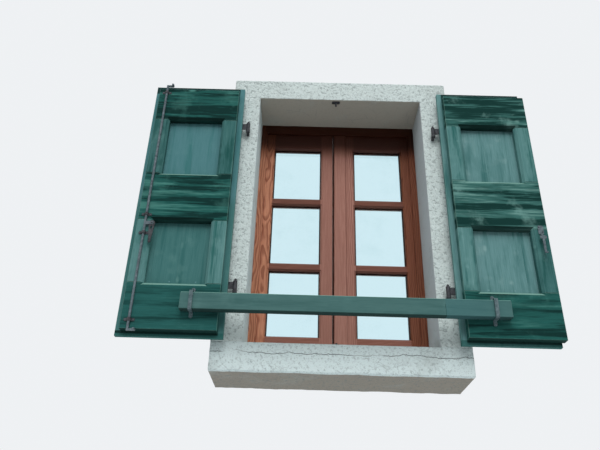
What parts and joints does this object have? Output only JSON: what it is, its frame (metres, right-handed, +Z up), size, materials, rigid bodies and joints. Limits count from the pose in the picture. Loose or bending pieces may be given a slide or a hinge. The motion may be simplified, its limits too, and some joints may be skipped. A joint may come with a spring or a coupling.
{
  "type": "panelled window shutters with frame",
  "caption": "Rendered stone window surround with green panelled board shutters folded open and barred across, a turning-rod fastener, and a brown glazed casement behind.",
  "frame": {"origin": "front edge of the sill's underside, in the middle of the opening", "axes": "+X to the right seen from outside, +Y into the building, +Z up"},
  "size_m": [2.041, 0.5, 1.718],
  "materials": {
    "rendered_stone": "coarse white roughcast",
    "shutter_board_wood": "worn blue-green stain",
    "shutter_stile_wood": "worn blue-green stain",
    "shutter_rail_wood": "worn green stain",
    "bar_wood": "worn green stain",
    "window_wood": "brown varnish, satin",
    "window_glass": "clear",
    "wrought_iron": "dark, worn",
    "window_hinge_metal": "dull",
    "window_handle_metal": "satin"
  },
  "bodies": {
    "surround": {"lintel": "rendered_stone", "sill": "rendered_stone", "jamb_left": "rendered_stone", "jamb_right": "rendered_stone", "left_upper_pintle": "wrought_iron", "left_lower_pintle": "wrought_iron", "right_upper_pintle": "wrought_iron", "right_lower_pintle": "wrought_iron", "top_keeper": "wrought_iron", "bottom_keeper": "wrought_iron", "window_frame_head": "window_wood", "window_frame_sill": "window_wood", "window_frame_jamb_left": "window_wood", "window_frame_jamb_right": "window_wood", "sash_hinge_pins": "window_hinge_metal"},
    "left_leaf": {"left_leaf_bar_staple": "wrought_iron", "left_leaf_boards": "shutter_board_wood", "left_leaf_bottom_rail": "shutter_rail_wood", "left_leaf_free_stiles": "shutter_stile_wood", "left_leaf_hinge_stiles": "shutter_stile_wood", "left_leaf_lower_strap": "wrought_iron", "left_leaf_middle_rail": "shutter_rail_wood", "left_leaf_strap_bolts": "wrought_iron", "left_leaf_top_rail": "shutter_rail_wood", "left_leaf_upper_strap": "wrought_iron", "rod_guides": "wrought_iron"},
    "right_leaf": {"right_leaf_bar_staple": "wrought_iron", "right_leaf_boards": "shutter_board_wood", "right_leaf_bottom_rail": "shutter_rail_wood", "right_leaf_free_stiles": "shutter_stile_wood", "right_leaf_hinge_stiles": "shutter_stile_wood", "right_leaf_lower_strap": "wrought_iron", "right_leaf_middle_rail": "shutter_rail_wood", "right_leaf_strap_bolts": "wrought_iron", "right_leaf_top_rail": "shutter_rail_wood", "right_leaf_upper_strap": "wrought_iron", "lever_catch": "wrought_iron"},
    "rod": {"turning_rod": "wrought_iron", "lever_rivet": "wrought_iron"},
    "lever": {"rod_lever": "wrought_iron"},
    "bar": {"guard_bar": "bar_wood"},
    "left_sash": {"left_sash_bottom_rail": "window_wood", "left_sash_glass": "window_glass", "left_sash_hinge_barrels": "window_hinge_metal", "left_sash_hinge_stile": "window_wood", "left_sash_lower_glazing_bar": "window_wood", "left_sash_meeting_stile": "window_wood", "left_sash_top_rail": "window_wood", "left_sash_upper_glazing_bar": "window_wood"},
    "right_sash": {"right_sash_bottom_rail": "window_wood", "right_sash_glass": "window_glass", "right_sash_hinge_barrels": "window_hinge_metal", "right_sash_hinge_stile": "window_wood", "right_sash_lower_glazing_bar": "window_wood", "right_sash_meeting_stile": "window_wood", "right_sash_top_rail": "window_wood", "right_sash_upper_glazing_bar": "window_wood", "astragal": "window_wood", "window_handle_rose": "window_handle_metal"},
    "handle": {"window_handle": "window_handle_metal"}
  },
  "joints": [
    {"name": "left_leaf_swing", "type": "hinge", "parent": "surround", "child": "left_leaf", "pos_m": [-0.508, -0.0295, 0.402], "axis": [0, 0, 1], "range_deg": [-0.65, 0.65]},
    {"name": "right_leaf_swing", "type": "hinge", "parent": "surround", "child": "right_leaf", "pos_m": [0.508, -0.0295, 0.402], "axis": [0, 0, -1], "range_deg": [-0.65, 0.65]},
    {"name": "rod_turn", "type": "hinge", "parent": "left_leaf", "child": "rod", "pos_m": [-0.965, -0.104, 0.69], "axis": [0, 0, -1], "range_deg": [0, 180]},
    {"name": "lever_lift", "type": "hinge", "parent": "rod", "child": "lever", "pos_m": [-0.931, -0.104, 0.69], "axis": [0, -1, 0], "range_deg": [0, 110]},
    {"name": "bar_slide", "type": "slide", "parent": "surround", "child": "bar", "axis": [1, 0, 0], "range_m": [-0.2, 1.45]},
    {"name": "left_sash_swing", "type": "hinge", "parent": "surround", "child": "left_sash", "pos_m": [-0.4325, 0.317, 0.33], "axis": [0, 0, 1], "range_deg": [0, 100]},
    {"name": "right_sash_swing", "type": "hinge", "parent": "surround", "child": "right_sash", "pos_m": [0.4325, 0.317, 0.33], "axis": [0, 0, -1], "range_deg": [0, 100]},
    {"name": "window_handle_turn", "type": "hinge", "parent": "right_sash", "child": "handle", "pos_m": [0.038, 0.33, 0.84], "axis": [0, -1, 0], "range_deg": [0, 90]}
  ]
}
